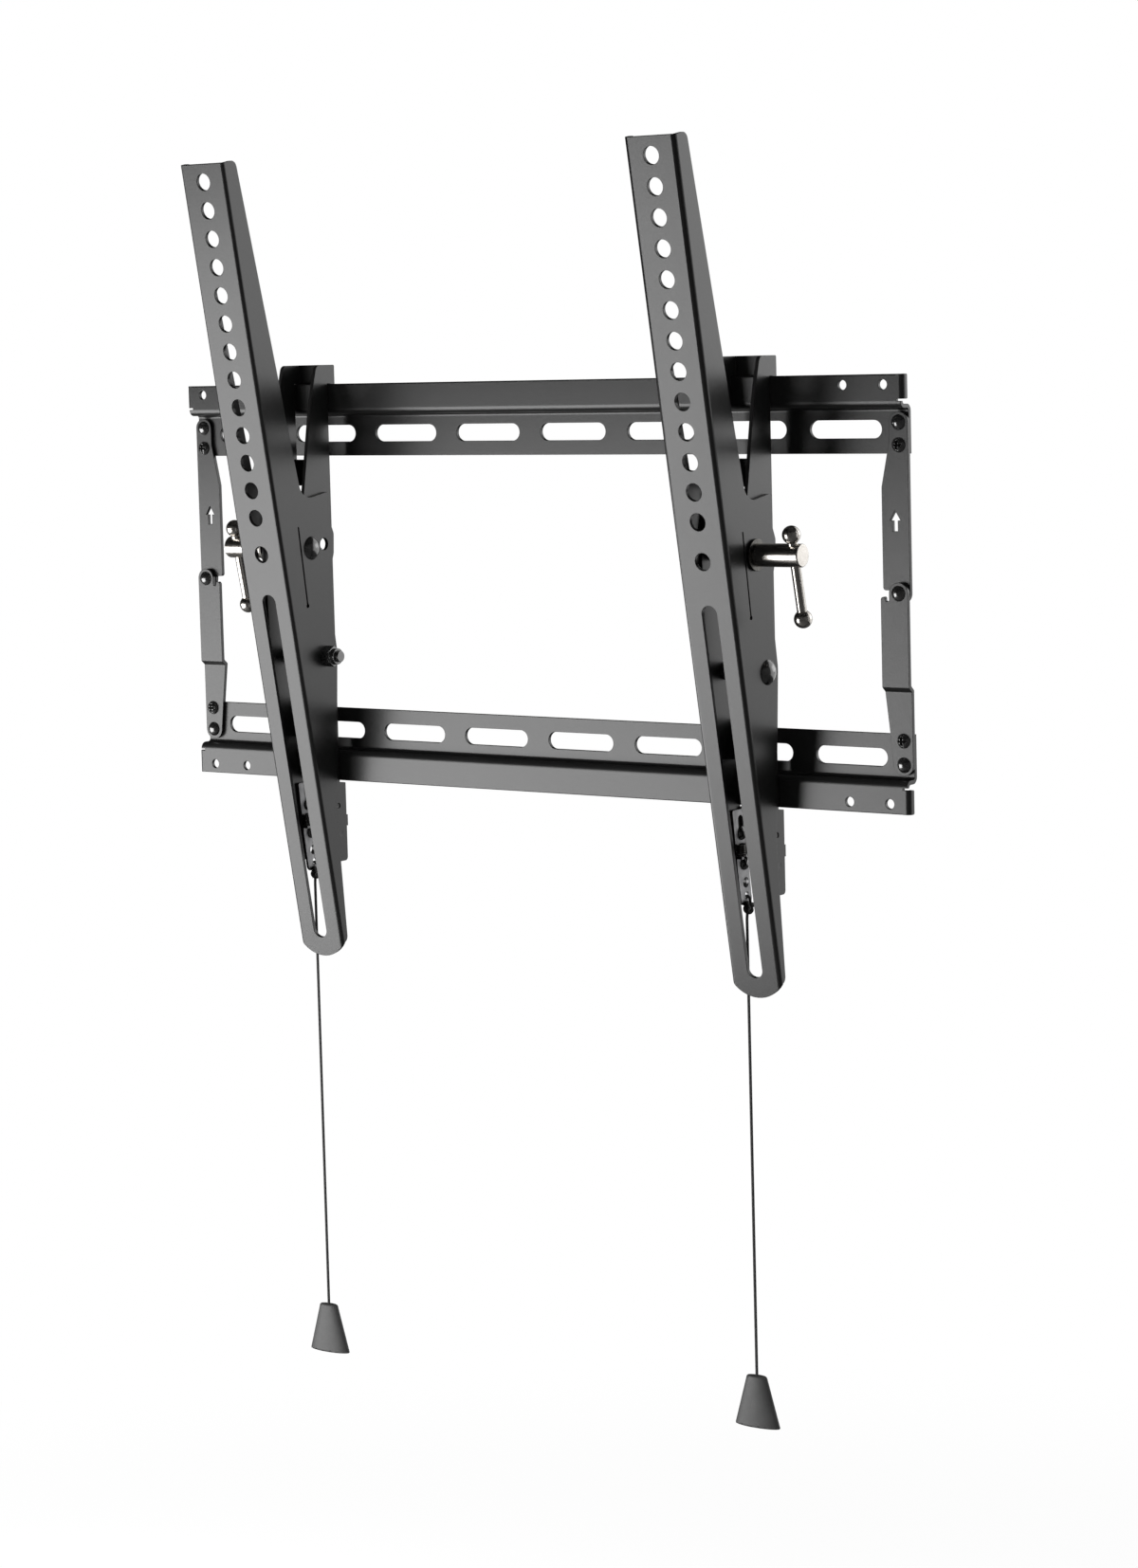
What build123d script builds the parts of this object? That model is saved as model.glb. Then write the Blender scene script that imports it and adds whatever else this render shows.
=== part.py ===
from build123d import *
import os
from math import asin, atan2, cos, degrees, hypot, radians, sin, sqrt, tan

os.makedirs("parts", exist_ok=True)

# Fits shared by all the pieces, in mm
sheet = 2.0           # folded steel sheet
pin_gap = 0.05        # radial, a fixed shank in its hole
run_gap = 0.08        # radial, a turning or sliding shank in its hole
face_gap = 0.1        # between faces that turn or slide on each other
side_gap = 0.3        # each side of the hook bracket in the arm and of the lip in the hook
past = 1.0            # how far a cutter runs past the sheet

# Wall rails: origin at the centre of the wall face, +Y into the wall, +Z up
rail_length = 460.0
slot_row_z = 80.7
slot_count = 8
slot_inset = 37.5     # last slot's centre from the rail's end
slot_length = 41.4
slot_width = 9.0
web_edge_z = 68.7
step_z = 93.0
lip_front_y = -9.6
lip_edge_z = 107.6
rail_bend = 3.5
lip_hole_d = 5.0
lip_hole_inset = (34.5, 11.5)
lip_hole_z = 102.6
web_short = 1.5       # web and ledge end this far inside the folded lip
lip_end = 4.0         # length of lip that is folded back
return_depth = 4.6
return_relief = 1.0   # cut between the folded lip and the ledge
return_bend = 2.4
return_round = 1.5
edge_round = 0.6

# Side links
link_inset = 6.4      # rivet line from the rail's end
link_end_r = 5.3
rail_rivet_z = (84.0, -83.8)
lock_screw_z = (73.0, -71.9)
knee_z = 0.7
rivet_d = 5.0
rivet_head_d = 8.0
rivet_head_h = 2.4
screw_d = 4.0
screw_head_d = 7.7
screw_head_h = 2.6
cross_length = 4.4
cross_width = 1.1
cross_depth = 1.2
collar_d = 9.0
collar_h = 0.6
link_wide = 15.3      # width of the links' broad stretch
upper_neck_z = 75.0
upper_broad_z = 52.5
upper_foot_z = 2.0
arrow_inset = 9.0
arrow_z = 36.2
arrow_head = (6.0, 4.9)
arrow_shaft = (2.9, 5.3)
lower_top_z = -1.0
lower_notch_z = -3.2
joggle_z = (-44.6, -46.8)
joggle_lead = 0.9
lower_knee_inset = 14.0
lower_knee_z = -67.0

# Screen arms, drawn upright about their pivot, then tilted
arm_x = 141.5
arm_width = 29.5
arm_bend = 2.1
tilt = 10.5
pivot_y = -20.5
pivot_z = -38.7
pivot_down = 262.0    # pivot below the top screen hole
pivot_deep = 23.0     # pivot behind the arm's face
arm_top = 9.4
arm_tip = -426.5
tip_rise = 7.7        # height of the rounded tip
foot_rise = 8.0       # flanks end this far above the tip
screen_hole_d = 9.0
screen_hole_pitch = 15.0
screen_hole_count = 13
lone_hole_down = 200.0
arm_slot_top = -222.3
arm_slot_rise = 10.5  # long slot's lower end above the tip
right_flank_top = (
    (9.4, 10.7, 4.0),
    (-175.6, 22.4, 9.0),
    (-176.0, 45.2, 1.5),
)
left_flank_top = (
    (9.4, 7.8, 4.0),
    (-167.0, 17.9, 9.0),
    (-167.4, 45.2, 1.5),
)
flank_low = (
    (-191.2, 42.4, 4.0),
    (-199.0, 44.2, 4.0),
    (-209.3, 41.8, 5.0),
    (-216.8, 37.6, 4.0),
    (-236.6, 33.2, 20.0),
    (-262.0, 32.4, 20.0),
    (-349.0, 11.5, 40.0),
)
foot_deep = 4.6
foot_round = 3.5
slit_top = (-188.7, 15.9)
slit_end = (-231.7, 14.0)
slit_width = 1.0
slit_bulb_d = 2.2
wide_slit = 6.4       # width of the same slit in the left arm's outer flank
clamp_down = 202.3
clamp_deep = 24.4
sight_down = 202.7
sight_deep = 34.9
sight_d = 6.7

# Tilt lock and pivot hardware
bolt_d = 6.0
neck = 6.0
bolt_head_d = 13.0
bolt_head_h = 3.6
washer_d = 16.0
washer_t = 1.6
boss_d = 11.6
boss_length = 26.0
boss_chamfer = 0.4
boss_bore_depth = 14.6
bolt_tip_gap = 0.6
bar_along = 21.0
bar_d = 5.0
ball_d = 9.2
ball_span = 43.0
bar_lean = 12.5
nut_flats = 10.0
nut_h = 5.4
nut_collar_d = 8.8
nut_collar_h = 2.6
bolt_proud = 2.0
spacer_d = 9.0
arc_room = 6.7        # width of the tilt lock's arc slot
tilt_back = 9.5
tilt_spare = 0.4

# Hook bracket
hook_y = (-7.2, -3.6)
hook_low_z = 99.0
hook_top_z = 117.8
hook_front = (
    (-18.6, 117.8, 3.5),
    (-22.2, 104.9, 20.0),
    (-24.6, 95.1, 20.0),
    (-32.1, 51.2, 60.0),
    (-39.5, 18.0, 8.0),
    (-37.0, -40.0, 20.0),
    (-26.5, -109.0, 30.0),
    (-17.5, -152.0, 3.0),
)
foot_rear_y = -5.0
foot_corner = 2.0
tie_z = (52.8, 66.9)
low_tie_z = (-84.0, -64.0)
foot_tie_z = (-133.0, -127.0)
foot_tie_proud = 1.0  # behind the foot's rear edge
window = (14.0, 5.8)  # opening behind the arm's sight hole
window_y = -15.15
window_z = 21.5

# Release latch, on the left flank of each bracket
latch_t = 1.5
latch_lean = 7.0      # degrees, foot toward the wall
latch_rivet_y = -11.6
latch_rivet_z = (-121.5, -137.0)
latch_hole_z = -147.0
latch_hole_d = 5.4
latch_travel = 7.0
latch_rivet_d = 4.0
latch_slot_room = 0.6
latch_head_d = 7.3
latch_head_h = 2.4
tooth_y = (-7.2, -4.5)
tooth_top_z = -104.2
tooth_low_z = -111.5
tooth_gap = 0.6
latch_top_z = -109.3
latch_ahead = 6.4     # plate ahead of its row of holes
latch_behind = 4.0
latch_foot_z = -158.5
latch_foot_ahead = 5.6
cord_hole_z = -153.6
cord_hole_d = 3.6
spring_d = 5.0
spring_wire = 1.0
spring_y = -16.3
spring_z = (-125.8, -132.8)
ear_y = (-16.4, -14.2)
ear_t = 1.5
ear_reach = 3.0

# Release cord
cord_y = -7.2
cord_d = 1.5
knot_d = 7.4
knot_flat_d = 2.0
handle_top_z = -402.2
handle_h = 26.5
handle_top_w = 11.7
handle_top_t = 5.2
handle_low_w = 27.0
handle_low_t = 8.6


def outline(points):
    """Closed face from (a, b, corner radius) points."""
    corners = [(a, b) for a, b, r in points]
    rounds = [r for a, b, r in points]
    return make_face(FilletPolyline(*corners, radius=rounds, close=True))


def yz_block(face, x0, x1):
    """Face drawn in (Y, Z), filling x0 to x1."""
    return Pos(X=x0) * extrude(Plane.YZ * face, x1 - x0, dir=(1, 0, 0))


def xz_block(face, y0, y1):
    """Face drawn in (X, Z), filling y0 down to y1."""
    return Pos(Y=y0) * extrude(Plane.XZ * face, y0 - y1, dir=(0, -1, 0))


def span_box(xs, ys, zs):
    """Box between pairs of X, Y and Z values."""
    size = [max(pair) - min(pair) for pair in (xs, ys, zs)]
    mid = [(pair[0] + pair[1]) / 2 for pair in (xs, ys, zs)]
    return Pos(*mid) * Box(*size)


def rod_x(d, x0, x1, y, z):
    """Cylinder along X."""
    return Pos((x0 + x1) / 2, y, z) * Rot(Y=90) * Cylinder(d / 2, abs(x1 - x0))


def rod_y(d, y0, y1, x, z):
    """Cylinder along Y."""
    return Pos(x, (y0 + y1) / 2, z) * Rot(X=90) * Cylinder(d / 2, abs(y1 - y0))


def dome(d, h):
    """Rounded head on the plane X = 0, rising along +X."""
    ball_r = (d * d / 4 + h * h) / (2 * h)
    half = asin(d / 2 / ball_r) / 2
    middle = (h - ball_r + ball_r * cos(half), ball_r * sin(half))
    arc = ThreePointArc((0, d / 2), middle, (h, 0))
    face = make_face([Line((0, 0), (0, d / 2)), arc, Line((h, 0), (0, 0))])
    return revolve(face, Axis.X)


def front_head(head, y, x, z):
    """Head turned to face the front, seated at y."""
    return Pos(x, y, z) * Rot(Z=-90) * head


def both(shape):
    """A right-hand shape and its mirror image."""
    return [shape, mirror(shape, Plane.YZ)]


def save(name, shape):
    export_step(shape, f"parts/{name}.step")


# Rails
rail_end = rail_length / 2
slot_pitch = (rail_length - 2 * slot_inset) / (slot_count - 1)
link_x = rail_end - link_inset
lip_back_y = lip_front_y + sheet
inner_bend = rail_bend - sheet
trim_x = rail_end - lip_end
rail_section = outline((
    (0, web_edge_z, 0),
    (0, step_z, rail_bend),
    (lip_back_y, step_z, inner_bend),
    (lip_back_y, lip_edge_z, edge_round),
    (lip_front_y, lip_edge_z, edge_round),
    (lip_front_y, step_z - sheet, rail_bend),
    (-sheet, step_z - sheet, inner_bend),
    (-sheet, web_edge_z, 0),
))
web_end = rail_end - web_short
top_rail = yz_block(rail_section, -web_end, web_end)
wall_slot = xz_block(SlotOverall(slot_length, slot_width), past, -sheet - past)
for i in range(slot_count):
    top_rail -= Pos(X=(i - (slot_count - 1) / 2) * slot_pitch, Z=slot_row_z) * wall_slot
relief_z = step_z + inner_bend
return_low_z = relief_z + return_relief
rail_return = extrude(
    outline((
        (trim_x, lip_front_y, 0),
        (rail_end, lip_front_y, return_bend),
        (rail_end, lip_front_y + return_depth, edge_round),
        (rail_end - sheet, lip_front_y + return_depth, edge_round),
        (rail_end - sheet, lip_back_y, return_bend - sheet),
        (trim_x, lip_back_y, 0),
    )),
    lip_edge_z - return_low_z,
)
rail_return = Pos(Z=return_low_z) * rail_return
rail_return &= yz_block(
    outline((
        (lip_front_y - past, return_low_z, 0),
        (lip_front_y + return_depth, return_low_z, return_round),
        (lip_front_y + return_depth, lip_edge_z, return_round),
        (lip_front_y - past, lip_edge_z, 0),
    )),
    trim_x - past,
    rail_end + past,
)
trim_y = (lip_front_y - past, lip_back_y + past)
end_trim = span_box((trim_x, rail_end), trim_y, (relief_z, lip_edge_z + past))
for cut in both(end_trim):
    top_rail -= cut
for fold in both(rail_return):
    top_rail += fold
for inset in lip_hole_inset:
    for hole in both(rod_y(lip_hole_d, lip_front_y - past, lip_back_y + past, rail_end - inset, lip_hole_z)):
        top_rail -= hole
bottom_rail = mirror(top_rail, Plane.XY)
rivet_hole_d = rivet_d + 2 * pin_gap
screw_hole_d = screw_d + 2 * pin_gap
for hole in both(rod_y(rivet_hole_d, -sheet - past, past, link_x, rail_rivet_z[0])):
    top_rail -= hole
for hole in both(rod_y(screw_hole_d, -sheet - past, past, link_x, lock_screw_z[0])):
    top_rail -= hole
for hole in both(rod_y(rivet_hole_d, -sheet - past, past, link_x, rail_rivet_z[1])):
    bottom_rail -= hole
for hole in both(rod_y(screw_hole_d, -sheet - past, past, link_x, lock_screw_z[1])):
    bottom_rail -= hole
save("top_rail", top_rail)
save("bottom_rail", bottom_rail)

# Links
link_out = link_x + link_end_r
link_in = link_x - link_end_r
link_broad = link_out - link_wide
end_r = link_end_r - pin_gap
link_back_y = -sheet
link_face_y = -2 * sheet
upper_link = xz_block(
    outline((
        (link_out, rail_rivet_z[0] + link_end_r, end_r),
        (link_in, rail_rivet_z[0] + link_end_r, end_r),
        (link_in, upper_neck_z, 3.0),
        (link_broad, upper_broad_z, 6.0),
        (link_broad, upper_foot_z, 1.5),
        (link_in, upper_foot_z, 0.8),
        (link_in, knee_z - link_end_r, end_r),
        (link_out, knee_z - link_end_r, end_r),
    )),
    link_back_y,
    link_face_y,
)
arrow_x = rail_end - arrow_inset
head_half = arrow_head[0] / 2
shaft_half = arrow_shaft[0] / 2
arrow = make_face(Polyline(
    (arrow_x, arrow_z + arrow_head[1]),
    (arrow_x + head_half, arrow_z),
    (arrow_x + shaft_half, arrow_z),
    (arrow_x + shaft_half, arrow_z - arrow_shaft[1]),
    (arrow_x - shaft_half, arrow_z - arrow_shaft[1]),
    (arrow_x - shaft_half, arrow_z),
    (arrow_x - head_half, arrow_z),
    close=True,
))
upper_link -= xz_block(arrow, link_back_y + past, link_face_y - past)
for d, z in ((rivet_hole_d, rail_rivet_z[0]), (screw_hole_d, lock_screw_z[0]), (rivet_hole_d, knee_z)):
    upper_link -= rod_y(d, link_back_y + past, link_face_y - past, link_x, z)

lower_back_y = link_face_y - collar_h
lower_face_y = lower_back_y - sheet
lower_foot_z = rail_rivet_z[1] - link_end_r
lower_link = xz_block(
    outline((
        (link_out, knee_z + link_end_r, end_r),
        (link_in, knee_z + link_end_r, end_r),
        (link_in, lower_notch_z, 0.8),
        (link_in - 2.2, lower_notch_z, 0.8),
        (link_in - 2.2, lower_top_z, 0.8),
        (link_broad, lower_top_z, 1.5),
        (link_broad, joggle_z[1], 1.0),
        (rail_end - lower_knee_inset, lower_knee_z, 10.0),
        (link_in, lower_foot_z, end_r),
        (link_out, lower_foot_z, end_r),
    )),
    link_back_y,
    lower_face_y,
)
lower_link &= yz_block(
    outline((
        (lower_back_y, knee_z + 2 * link_end_r, 0),
        (lower_back_y, joggle_z[0], 1.0),
        (link_back_y, joggle_z[1], 1.0),
        (link_back_y, lower_foot_z - past, 0),
        (link_face_y, lower_foot_z - past, 0),
        (link_face_y, joggle_z[1] - joggle_lead, 1.0),
        (lower_face_y, joggle_z[0] - joggle_lead, 1.0),
        (lower_face_y, knee_z + 2 * link_end_r, 0),
    )),
    link_broad - past,
    link_out + past,
)
for d, z in ((rivet_hole_d, rail_rivet_z[1]), (screw_hole_d, lock_screw_z[1]), (rivet_hole_d, knee_z)):
    lower_link -= rod_y(d, past, lower_face_y - past, link_x, z)
save("right_upper_link", upper_link)
save("left_upper_link", mirror(upper_link, Plane.YZ))
save("right_lower_link", lower_link)
save("left_lower_link", mirror(lower_link, Plane.YZ))

# Rivets and lock screws of the frame
rivet_head = dome(rivet_head_d, rivet_head_h)
screw_head = dome(screw_head_d, screw_head_h)
recess_x = screw_head_h - cross_depth / 2
screw_head -= Pos(X=recess_x) * Box(cross_depth, cross_length, cross_width)
screw_head -= Pos(X=recess_x) * Box(cross_depth, cross_width, cross_length)
rail_rivets = []
for z in rail_rivet_z:
    rivet = rod_y(rivet_d, 0, link_face_y, link_x, z) + front_head(rivet_head, link_face_y, link_x, z)
    rail_rivets += both(rivet)
lock_screws = []
for z in lock_screw_z:
    screw = rod_y(screw_d, 0, link_face_y, link_x, z) + front_head(screw_head, link_face_y, link_x, z)
    lock_screws += both(screw)
knee = rod_y(rivet_d, link_back_y, lower_face_y, link_x, knee_z)
knee += rod_y(collar_d, link_face_y, lower_back_y, link_x, knee_z)
knee += front_head(rivet_head, lower_face_y, link_x, knee_z)
save("rail_rivets", Compound(children=rail_rivets))
save("link_lock_screws", Compound(children=lock_screws))
save("knee_rivets", Compound(children=both(knee)))

# Arms: outer flanks carry the tilt locks
half_arm = arm_width / 2
half_inside = half_arm - sheet


def arm_point(down, deep):
    """Upright (Y, Z) about the pivot from a place along the arm and behind its face."""
    return (deep - pivot_deep, down + pivot_down)


def tilted(y, z):
    """Frame (Y, Z) of an upright point about the pivot once the arm is tilted."""
    turn = radians(tilt)
    return (pivot_y + y * cos(turn) - z * sin(turn), pivot_z + y * sin(turn) + z * cos(turn))


face_y = -pivot_deep
inside_y = face_y + sheet
deepest_y = max(deep for down, deep, r in right_flank_top) - pivot_deep + past
channel = outline((
    (-half_arm, deepest_y, 0),
    (-half_arm, face_y, arm_bend),
    (half_arm, face_y, arm_bend),
    (half_arm, deepest_y, 0),
    (half_inside, deepest_y, 0),
    (half_inside, inside_y, arm_bend - sheet),
    (-half_inside, inside_y, arm_bend - sheet),
    (-half_inside, deepest_y, 0),
))
channel_low = arm_tip + pivot_down
channel = Pos(Z=channel_low) * extrude(channel, arm_top - arm_tip)
flank_foot = arm_tip + foot_rise


def flank_outline(flank_top):
    """Upright face of one flank from its own top points and the shared lower ones."""
    rear = flank_top + flank_low + ((flank_foot, foot_deep, foot_round),)
    points = [arm_point(down, deep) + (r,) for down, deep, r in rear]
    return outline(points + [arm_point(flank_foot, 0) + (0,), arm_point(arm_top, 0) + (0,)])


flanks = yz_block(flank_outline(right_flank_top), 0, half_arm)
flanks += yz_block(flank_outline(left_flank_top), -half_arm, 0)
tip_side_z = channel_low + tip_rise
tip_top_z = max(tip_side_z, flank_foot + pivot_down) + sheet
tongue = make_face([
    Line((-half_arm, tip_top_z), (-half_arm, tip_side_z)),
    ThreePointArc((-half_arm, tip_side_z), (0, channel_low), (half_arm, tip_side_z)),
    Line((half_arm, tip_side_z), (half_arm, tip_top_z)),
    Line((half_arm, tip_top_z), (-half_arm, tip_top_z)),
])
arm = channel & (flanks + xz_block(tongue, inside_y, face_y))
screen_downs = [i * screen_hole_pitch for i in range(screen_hole_count)] + [lone_hole_down]
for down in screen_downs:
    arm -= rod_y(screen_hole_d, face_y - past, inside_y + past, 0, pivot_down - down)
arm_slot_low = arm_tip + arm_slot_rise
slot_span = arm_slot_top - arm_slot_low
slot_mid_z = (arm_slot_top + arm_slot_low) / 2 + pivot_down
long_slot = SlotOverall(slot_span, screen_hole_d, rotation=90)
arm -= Pos(Z=slot_mid_z) * xz_block(long_slot, inside_y + past, face_y - past)
arm -= rod_x(bolt_d + 2 * run_gap, -arm_width, arm_width, 0, 0)
sight = arm_point(-sight_down, sight_deep)
arm -= rod_x(sight_d, -arm_width, arm_width, *sight)
clamp = arm_point(-clamp_down, clamp_deep)
slit_a = arm_point(*slit_top)
slit_b = arm_point(*slit_end)
slit_length = hypot(slit_a[0] - slit_b[0], slit_a[1] - slit_b[1])
slit_turn = degrees(atan2(slit_b[0] - slit_a[0], slit_a[1] - slit_b[1]))
slit_mid = ((slit_a[0] + slit_b[0]) / 2, (slit_a[1] + slit_b[1]) / 2)
arm -= Pos(0, *slit_mid) * Rot(X=slit_turn) * Box(2 * arm_width, slit_width, slit_length)
arm -= rod_x(slit_bulb_d, -arm_width, arm_width, *slit_b)
wide = SlotOverall(slit_length, wide_slit, rotation=90 + slit_turn)
wide = yz_block(Pos(*slit_mid) * wide, -arm_width, -half_inside + past)
neck_room = neck + 2 * pin_gap
neck_hole = Box(arm_width / 2, neck_room, neck_room)
arm_seat = Location((0, pivot_y, pivot_z), (tilt, 0, 0))
for side, outer in (("left", -1), ("right", 1)):
    own = arm - rod_x(bolt_d + 2 * pin_gap, 0, outer * arm_width, *clamp)
    own -= Pos(-outer * half_arm, *clamp) * neck_hole
    if outer < 0:
        own -= wide
    save(f"{side}_arm", Pos(X=outer * arm_x) * arm_seat * own)

# Hook bracket, alike on both sides
half_hook = half_inside - side_gap
half_hollow = half_hook - sheet
lip_front_room = lip_front_y - side_gap
hook_flank = outline(
    (
        (hook_y[1], hook_top_z, 1.0),
    )
    + hook_front
    + (
        (foot_rear_y, hook_front[-1][1], foot_corner),
        (foot_rear_y, -lip_edge_z - 1.6, 0.5),
        (lip_front_room, -lip_edge_z - 1.0, 0.5),
        (lip_front_room, lip_edge_z + face_gap, 0.2),
        (hook_y[0], lip_edge_z + face_gap, 0.2),
        (hook_y[0], hook_low_z, 1.0),
        (hook_y[1], hook_low_z, 1.0),
    )
)
bracket = yz_block(hook_flank, half_hollow, half_hook) + yz_block(hook_flank, -half_hook, -half_hollow)
hollow = (-half_hollow, half_hollow)
hook_web = span_box(hollow, (hook_y[1] - sheet, hook_y[1]), (hook_low_z, hook_top_z))
bracket += yz_block(hook_flank, *hollow) & hook_web
for tie in (tie_z, low_tie_z):
    bracket += span_box(hollow, (lip_front_room - sheet, lip_front_room), tie)
foot_tie_y = foot_rear_y + foot_tie_proud
foot_tie_start = latch_t - half_hollow + 2 * face_gap
bracket += span_box((foot_tie_start, half_hook), (foot_tie_y - sheet, foot_tie_y), foot_tie_z)
clamp_y, clamp_z = tilted(*clamp)
arc_r = hypot(clamp_y - pivot_y, clamp_z - pivot_z)
clamp_turn = degrees(atan2(clamp_z - pivot_z, clamp_y - pivot_y))
arc = CenterArc((pivot_y, pivot_z), arc_r, clamp_turn - tilt_back, tilt_back + tilt_spare)
bracket -= yz_block(SlotArc(arc, arc_room), -half_arm, half_arm)
bracket -= rod_x(bolt_d + 2 * pin_gap, -half_arm, half_arm, pivot_y, pivot_z)
sight_window = Pos(window_y, window_z) * SlotOverall(*window, rotation=90 + tilt)
bracket -= yz_block(sight_window, -half_arm, half_arm)


def row_y(z):
    """Y of the latch's leaning row of holes."""
    return latch_rivet_y + (latch_rivet_z[0] - z) * tan(radians(latch_lean))


for z in latch_rivet_z:
    bracket -= rod_x(latch_rivet_d + 2 * pin_gap, -half_arm, half_arm, row_y(z), z)
bracket -= rod_x(latch_hole_d, -half_arm, half_arm, row_y(latch_hole_z), latch_hole_z)
save("right_hook_bracket", Pos(X=arm_x) * bracket)
save("left_hook_bracket", Pos(X=-arm_x) * bracket)

# Tilt lock, right hand
bolt_head = dome(bolt_head_d, bolt_head_h)
washer_out = half_arm + washer_t
boss_start = washer_out + face_gap
boss_end = boss_start + boss_length
bar_x = boss_start + bar_along
bolt_tip = boss_start + boss_bore_depth - bolt_tip_gap
clamp_bolt = Pos(-half_arm, clamp_y, clamp_z) * Rot(Z=180) * bolt_head
clamp_bolt += Location((sheet / 2 - half_arm, clamp_y, clamp_z), (tilt, 0, 0)) * Box(sheet, neck, neck)
clamp_bolt += rod_x(bolt_d, -half_inside, bolt_tip, clamp_y, clamp_z)
clamp_washer = rod_x(washer_d, half_arm, washer_out, clamp_y, clamp_z)
clamp_washer -= rod_x(bolt_d + 2 * pin_gap, half_arm - past, washer_out + past, clamp_y, clamp_z)
boss = Cylinder(boss_d / 2, boss_length)
boss = chamfer(boss.edges().sort_by(Axis.Z)[-1], boss_chamfer)
boss = Pos((boss_start + boss_end) / 2, clamp_y, clamp_z) * Rot(Y=90) * boss
boss -= rod_x(bolt_d + 2 * run_gap, boss_start - past, boss_start + boss_bore_depth, clamp_y, clamp_z)
bar_frame = Location((bar_x, clamp_y, clamp_z), (bar_lean, 0, 0))
boss -= bar_frame * Cylinder(bar_d / 2 + run_gap, 2 * boss_d)
ball_up = boss_d / 2 + ball_d / 2 + face_gap
ball_low = ball_up - ball_span
ball_flat = sqrt((ball_d / 2) ** 2 - (bar_d / 2) ** 2)
bar_span = ball_span - 2 * ball_flat
bar = bar_frame * Pos(Z=(ball_up + ball_low) / 2) * Cylinder(bar_d / 2, bar_span)
ball = Sphere(ball_d / 2) - Pos(Z=-ball_flat - ball_d / 2) * Box(ball_d, ball_d, ball_d)
upper_ball = bar_frame * Pos(Z=ball_up) * ball
lower_ball = bar_frame * Pos(Z=ball_low) * Rot(X=180) * ball

# Pivot, right hand
pivot_seat = half_arm + face_gap
nut_end = pivot_seat + nut_h + nut_collar_h
pivot_bolt = Pos(pivot_seat, pivot_y, pivot_z) * bolt_head
pivot_bolt += rod_x(bolt_d, -nut_end - bolt_proud, pivot_seat, pivot_y, pivot_z)
nut = extrude(RegularPolygon(nut_flats / 2, 6, major_radius=False), nut_h)
nut += Pos(Z=nut_h + nut_collar_h / 2) * Cylinder(nut_collar_d / 2, nut_collar_h)
nut -= Pos(Z=nut_h) * Cylinder(bolt_d / 2 + pin_gap, 4 * nut_h)
nut = Pos(-pivot_seat, pivot_y, pivot_z) * Rot(Y=-90) * nut
spacer = rod_x(spacer_d, -half_hollow, half_hollow, pivot_y, pivot_z)
spacer -= rod_x(bolt_d + 2 * pin_gap, -half_arm, half_arm, pivot_y, pivot_z)

handed = {
    "clamp_bolt": clamp_bolt,
    "clamp_washer": clamp_washer,
    "clamp_boss": boss,
    "tommy_bar": bar,
    "pivot_bolt": pivot_bolt,
    "pivot_nut": nut,
    "pivot_spacer": spacer,
}
for name, shape in handed.items():
    placed = Pos(X=arm_x) * shape
    save(f"right_{name}", placed)
    save(f"left_{name}", mirror(placed, Plane.YZ))
right_balls = [Pos(X=arm_x) * upper_ball, Pos(X=arm_x) * lower_ball]
left_balls = [mirror(ball, Plane.YZ) for ball in right_balls]
save("right_tommy_balls", Compound(children=right_balls))
save("left_tommy_balls", Compound(children=left_balls))

# Release latch and cord, alike on both sides
latch_back_x = -half_hollow + face_gap
latch_face_x = latch_back_x + latch_t
neck_z = -lip_edge_z - tooth_gap
shank_z = latch_rivet_z[1] - latch_rivet_d
latch = outline((
    (row_y(latch_top_z) - latch_ahead, latch_top_z, 1.0),
    (lip_front_room - 1.6, latch_top_z, 0.5),
    (lip_front_room - 0.6, neck_z, 0.5),
    (tooth_y[0], neck_z, 0.2),
    (tooth_y[0], tooth_top_z, 0.4),
    (tooth_y[1], tooth_top_z, 1.2),
    (tooth_y[1], tooth_low_z, 1.0),
    (row_y(tooth_low_z) + latch_behind, tooth_low_z - 2.0, 1.0),
    (row_y(latch_foot_z) + latch_behind, latch_foot_z, 3.0),
    (row_y(latch_foot_z) - latch_foot_ahead, latch_foot_z, 3.0),
    (row_y(shank_z) - latch_ahead, shank_z, 4.0),
))
latch = yz_block(latch, latch_back_x, latch_face_x)
guide_width = latch_rivet_d + latch_slot_room
guide = SlotCenterToCenter(latch_travel + face_gap, guide_width, rotation=90 + latch_lean)
guide_up = latch_travel / 2 * cos(radians(latch_lean))
for z in latch_rivet_z:
    guide_z = z + guide_up
    latch -= yz_block(Pos(row_y(guide_z), guide_z) * guide, latch_back_x - past, latch_face_x + past)
for d, z in ((latch_hole_d, latch_hole_z), (cord_hole_d, cord_hole_z)):
    latch -= rod_x(d, latch_back_x - past, latch_face_x + past, row_y(z), z)
latch += span_box((latch_face_x, latch_face_x + ear_reach), ear_y, (spring_z[1] - ear_t, spring_z[1]))
latch_rivets = []
for z in latch_rivet_z:
    head_x = latch_face_x + face_gap
    rivet = rod_x(latch_rivet_d, -half_hook, head_x, row_y(z), z)
    latch_rivets.append(rivet + Pos(head_x, row_y(z), z) * dome(latch_head_d, latch_head_h))
spring_x = latch_face_x + face_gap + spring_d / 2
spring = Cylinder(spring_d / 2, spring_z[0] - spring_z[1])
spring -= Cylinder(spring_d / 2 - spring_wire, 2 * spring_d)
spring = Pos(spring_x, spring_y, (spring_z[0] + spring_z[1]) / 2) * spring

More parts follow.
